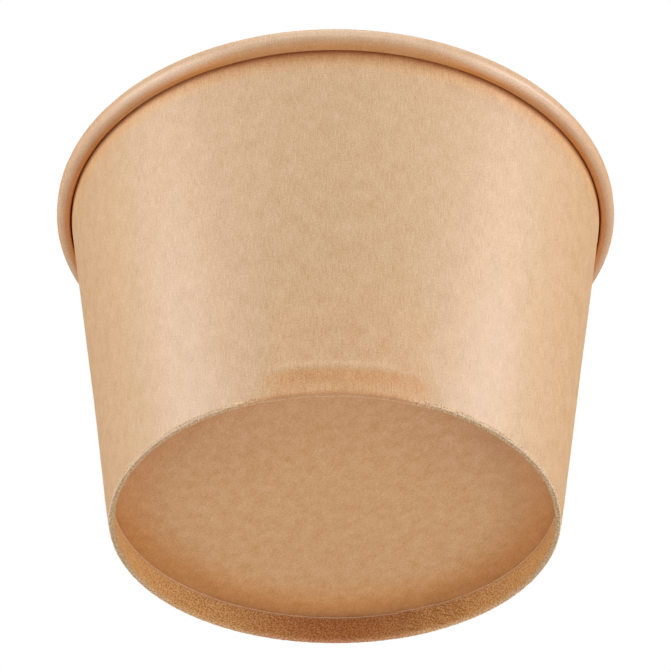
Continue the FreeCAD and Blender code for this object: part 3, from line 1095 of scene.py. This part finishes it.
@dataclass
class BaseDisc:
    """The base's one blank: a flat disc with its rim turned down."""

    form: BowlForm
    columns: int = 480
    centre: float = 1.2 * MM
    dish: float = 0.05 * MM
    grain_turn: float = math.radians(-20.0)

    def draw(self) -> Section:
        """Draw the open section, from the middle of the underside, round the rim to the middle of the top.

        Returns:
            The section.
        """
        form = self.form
        low, high = form.recess_depth, form.recess_depth + form.base_board
        outer_face = form.skirt.moved(-form.wall_board - form.bond_gap)
        inner_face = outer_face.moved(-form.base_board)
        bend = form.disc_bend
        middle = inner_face.moved(-bend).at_height(low - bend)
        lean = math.atan2(form.skirt.out[1], form.skirt.out[0])
        foot = form.wall_board + form.rim_lift

        section = Section()
        section.start((self.centre, low), Zone.UNDERSIDE)
        section.line((middle[0] - 2.0 * MM, low), 40, Zone.UNDERSIDE)
        section.line((middle[0], low), 6, Zone.UNDERSIDE)
        section.arc(middle, bend, 0.5 * math.pi, lean, 5, Zone.UNDERSIDE)
        section.line(inner_face.at_height(foot), 6, Zone.RIM)
        section.line(outer_face.at_height(foot), 1, Zone.RIM_CUT)
        around = (middle[0] + (bend + form.base_board) * math.cos(lean),
                  middle[1] + (bend + form.base_board) * math.sin(lean))
        section.line(around, 4, Zone.TOPSIDE)
        section.arc(middle, bend + form.base_board, lean, 0.5 * math.pi, 5, Zone.TOPSIDE)
        section.line((self.centre, high), 40, Zone.TOPSIDE)
        return section

    def _marks(self, zones: list[Zone], radius: np.ndarray, azimuth: np.ndarray) -> dict[str, np.ndarray]:
        """Where the underside gets painted warm shade near its edge and painted shade toward its front.

        Args:
            zones: the zone of each row.
            radius: the radius of each point.
            azimuth: the columns' azimuths.

        Returns:
            The marks by name, with nothing at the two hubs.
        """
        edge = self.form.foot_radius
        away = np.abs(turn_from_front(azimuth))
        below = np.array([zone in (Zone.UNDERSIDE, Zone.RIM) for zone in zones], float)[:, None]
        # painted warm shade near the underside's edge, less at the front
        painted_warm_shade = below * smooth(radius, edge - 14 * MM, edge - 3 * MM)
        painted_warm_shade = painted_warm_shade * (1 - 0.5 * smooth(radius, edge - 4 * MM, edge - 1.5 * MM))
        painted_warm_shade = painted_warm_shade * (0.15 + 0.85 * sweep(away, 0.0, 50.0))
        # painted shade toward the front of the underside
        painted_shade = 0.13 * below * smooth(radius, 8 * MM, 26 * MM) * (1 - sweep(away, 45.0, 105.0))
        marks = {"painted_warm_shade": painted_warm_shade, "painted_shade": painted_shade}
        return {name: np.concatenate([mark.ravel(), np.zeros(2)]) for name, mark in marks.items()}

    def build(self, finishes: list[bpy.types.Material]) -> bpy.types.Object:
        """Make the piece and put it in its node's place.

        Args:
            finishes: the outside, the lining and the cut edge.

        Returns:
            The object.
        """
        section = self.draw()
        places = np.array(section.points)
        zones = section.zones
        azimuth = np.arange(self.columns)[None, :] * 2 * math.pi / self.columns
        travel = section.travel()
        radius = places[:, 0][:, None] + 0.0 * azimuth
        flat = np.array([zone in (Zone.UNDERSIDE, Zone.TOPSIDE) for zone in zones], float)[:, None]
        inner = flat * (1 - smooth(radius, self.form.foot_radius - 5 * MM, self.form.foot_radius - 2.5 * MM))
        x, y = radius * np.cos(azimuth), radius * np.sin(azimuth)
        wave = Ripple(31, self.dish, 6, 30 * MM)
        level = places[:, 1][:, None] + inner * wave(x / (16 * MM), y)
        marks = self._marks(zones, radius, azimuth)
        radius = radius - self.form.dented(azimuth, radius, level)

        turn = zones.index(Zone.RIM)
        half = travel[turn:].max()
        reach = np.where(np.arange(len(zones)) <= zones.index(Zone.RIM_CUT), self.centre + travel,
                         self.centre + half - travel)[:, None]
        sheet = azimuth + self.grain_turn
        blank = np.stack([reach * np.cos(sheet), reach * np.sin(sheet)], axis=2)

        points = ring_of(azimuth, radius, level).reshape(-1, 3)
        rows = len(zones)
        faces = quads(rows, self.columns, closed_rows=False).tolist()
        kinds = np.repeat([FACE_OF[zone].value for zone in zones[1:]], self.columns)
        hubs = np.array([[0.0, 0.0, level[0].mean()], [0.0, 0.0, level[-1].mean()]])
        under, over = len(points), len(points) + 1
        last = (rows - 1) * self.columns
        for column in range(self.columns):
            beside = (column + 1) % self.columns
            faces.append((under, beside, column))
            faces.append((over, last + column, last + beside))
        kinds = np.concatenate([kinds, np.tile([Face.OUTSIDE.value, Face.LINING.value], self.columns)])
        blank = np.concatenate([blank.reshape(-1, 2), np.zeros((2, 2))])
        points = np.concatenate([points, hubs])
        piece = mesh_object("bowl_base", points, faces, blank, kinds, marks, finishes)
        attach(piece, "root")
        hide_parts("base_disc")
        return piece


# ---------------------------------------------------------------- studio


@dataclass(frozen=True)
class Lamp:
    """A soft oblong lamp that faces the bowl. Its angles are in degrees, from the front and from level."""

    name: str
    azimuth: float
    elevation: float
    distance: float
    width: float
    height: float
    power: float
    colour: Colour = (1.0, 1.0, 1.0)

    def place(self, aim: Vector) -> bpy.types.Object:
        """Hang the lamp.

        Args:
            aim: the point that it faces.

        Returns:
            The lamp.
        """
        data = bpy.data.lights.new(self.name, "AREA")
        data.shape = "RECTANGLE"
        data.size, data.size_y = self.width, self.height
        data.energy = self.power
        data.color = self.colour
        lamp = bpy.data.objects.new(self.name, data)
        turn, rise = math.radians(self.azimuth), math.radians(self.elevation)
        away = Vector((math.sin(turn) * math.cos(rise), -math.cos(turn) * math.cos(rise), math.sin(rise)))
        lamp.location = aim + away * self.distance
        lamp.rotation_euler = away.to_track_quat("Z", "Y").to_euler()
        lamp.visible_camera = False
        bpy.context.scene.collection.objects.link(lamp)
        return lamp


@dataclass
class Studio:
    """A white room, a pale floor that shows from above, soft lamps and the camera."""

    aim: Vector
    ground_light: float = 1.01
    floor_radius: float = 1.6
    floor_drop: float = 0.1 * MM
    camera_distance: float = 0.5345
    camera_elevation: float = -37.604
    lens: float = 142.93
    sensor: float = 36.0
    lamps: tuple[Lamp, ...] = (
        Lamp("side_right", 74.0, 12.0, 1.4, 0.7, 0.7, 9.2, COOL),
        Lamp("side_left", -74.0, 12.0, 1.4, 0.7, 0.7, 8.1, COOL),
        Lamp("near_right", 50.0, 8.0, 1.4, 0.7, 0.7, 4.3, COOL),
        Lamp("near_left", -50.0, 8.0, 1.4, 0.7, 0.7, 4.8, COOL),
        Lamp("low_right", 80.0, -27.0, 1.4, 0.9, 0.6, 7.0),
        Lamp("low_left", -80.0, -27.0, 1.4, 0.9, 0.6, 5.4),
        Lamp("front", 0.0, 42.0, 0.8, 0.97, 0.34, 2.78, WARM),
        Lamp("above", 0.0, 80.0, 1.4, 1.0, 0.8, 10.0),
        Lamp("back", 180.0, 20.0, 1.4, 1.2, 0.9, 12.0),
    )

    def build(self) -> None:
        """Build the whole studio."""
        self.light_room()
        self.lay_floor()
        for lamp in self.lamps:
            lamp.place(self.aim)
        self.set_camera()
        scene = bpy.context.scene
        scene.view_settings.view_transform = "Standard"

    def light_room(self) -> None:
        """Light the room softly from below, as a white table would; it looks pure white."""
        world = bpy.data.worlds.new("white_room")
        world.use_nodes = True
        bpy.context.scene.world = world
        graph = Graph(world.node_tree)
        place = graph.node("ShaderNodeTexCoord", {}, {}).outputs["Generated"]
        down = graph.signal("ShaderNodeVectorMath", {"operation": "DOT_PRODUCT"},
                            {0: place, 1: (0.0, 0.0, -1.0)}, "Value")
        down = graph.signal("ShaderNodeMath", {"operation": "MAXIMUM"}, {0: down, 1: 0.0})
        light = down * down * self.ground_light
        seen = self._seen_rays(graph)
        strength = light + seen * (1.0 - light)
        shade = graph.node("ShaderNodeBackground", {}, {"Color": (1.0, 1.0, 1.0, 1.0), "Strength": strength})
        graph.node("ShaderNodeOutputWorld", {}, {"Surface": shade.outputs[0]})

    @staticmethod
    def _seen_rays(graph: Graph) -> Signal:
        """Tell seeing from lighting.

        Args:
            graph: the graph to add to.

        Returns:
            1 for what is seen directly, in a reflection or through glass, and 0 for light.
        """
        rays = graph.node("ShaderNodeLightPath", {}, {})
        seen = [Signal(graph, rays.outputs[name]) for name in
                ("Is Camera Ray", "Is Glossy Ray", "Is Transmission Ray")]
        return (seen[0] + seen[1] + seen[2]).step(0.0, 1.0)

    def lay_floor(self) -> None:
        """Lay the pale floor. It shows from above and fades to white far off; light passes it from below."""
        points = [(0.0, 0.0, 0.0)]
        steps = 96
        for number in range(steps):
            turn = 2 * math.pi * number / steps
            points.append((self.floor_radius * math.cos(turn), self.floor_radius * math.sin(turn), 0.0))
        faces = [(0, number + 1, (number + 1) % steps + 1) for number in range(steps)]
        mesh = bpy.data.meshes.new("floor")
        mesh.from_pydata(points, [], faces)
        floor = bpy.data.objects.new("floor", mesh)
        floor.location.z = CAD_BOX[0].z - self.floor_drop
        mesh.materials.append(self._floor_finish())
        bpy.context.scene.collection.objects.link(floor)

    def _floor_finish(self) -> bpy.types.Material:
        """The floor's finish: matt and pale near the bowl, one with the room further off.

        Returns:
            The material.
        """
        material = bpy.data.materials.new("pale_floor")
        material.use_nodes = True
        graph = Graph(material.node_tree)
        place = graph.node("ShaderNodeTexCoord", {}, {}).outputs["Object"]
        reach = graph.signal("ShaderNodeVectorMath", {"operation": "LENGTH"}, {0: place}, "Value")
        matt = graph.node("ShaderNodeBsdfDiffuse", {}, {"Color": (0.86, 0.86, 0.86, 1.0)})
        white = graph.node("ShaderNodeEmission", {}, {"Color": (1.0, 1.0, 1.0, 1.0), "Strength": 1.0})
        far = reach.step(0.12, 0.5)
        top = graph.node("ShaderNodeMixShader", {}, {0: far, 1: matt.outputs[0], 2: white.outputs[0]})
        clear = graph.node("ShaderNodeBsdfTransparent", {}, {})
        rays = graph.node("ShaderNodeLightPath", {}, {})
        below = graph.signal("ShaderNodeNewGeometry", {}, {}, "Backfacing")
        shown = Signal(graph, rays.outputs["Is Camera Ray"]) * (1 - below)
        floor = graph.node("ShaderNodeMixShader", {}, {0: shown, 1: clear.outputs[0], 2: top.outputs[0]})
        graph.node("ShaderNodeOutputMaterial", {}, {"Surface": floor.outputs[0]})
        return material

    def set_camera(self) -> None:
        """Put the camera low in front of the bowl, looking up at its base."""
        data = bpy.data.cameras.new("camera")
        data.sensor_fit = "HORIZONTAL"
        data.sensor_width = self.sensor
        data.lens = self.lens
        data.clip_start, data.clip_end = 0.01, 50.0
        camera = bpy.data.objects.new("camera", data)
        rise = math.radians(self.camera_elevation)
        away = Vector((0.0, -math.cos(rise), math.sin(rise)))
        camera.location = self.aim + away * self.camera_distance
        camera.rotation_euler = away.to_track_quat("Z", "Y").to_euler()
        bpy.context.scene.collection.objects.link(camera)
        bpy.context.scene.camera = camera


def main() -> None:
    """Build the bowl and its studio, and report each piece."""
    logging.basicConfig(level=logging.INFO, format="%(name)s: %(message)s")
    form = BowlForm.from_frame()
    outside = KraftBoard("kraft_outside", dark=(184, 142, 97), light=(220, 186, 149))
    lining = KraftBoard("kraft_lining", dark=(182, 142, 103), light=(214, 180, 146), gloss=0.55, streak=0.8,
                        warm_shade_dark=(190, 117, 45), warm_shade_light=(220, 149, 74), fleck=1.8, relief=0.005 * MM)
    under = KraftBoard("kraft_base", dark=(197, 136, 67), light=(227, 183, 139), cloud=0.85, streak=0.5,
                       fleck=1.4, warm_shade_dark=(190, 128, 62), warm_shade_light=(226, 168, 114),
                       streak_width=0.4 * MM, fleck_size=0.34 * MM, cloud_size=2.4 * MM)
    cut = CutEdge().make()
    lining_finish = lining.make()
    aim = Vector((0.0, 0.0, AIM_SHARE * form.rim_height))
    Studio(aim).build()
    pieces = [
        Sidewall(form).build([outside.make(), lining_finish, cut]),
        BaseDisc(form).build([under.make(), lining_finish, cut]),
    ]
    for piece in pieces:
        log.info("%s: %d faces", piece.name, len(piece.data.polygons))


if __name__ == "__main__":
    main()
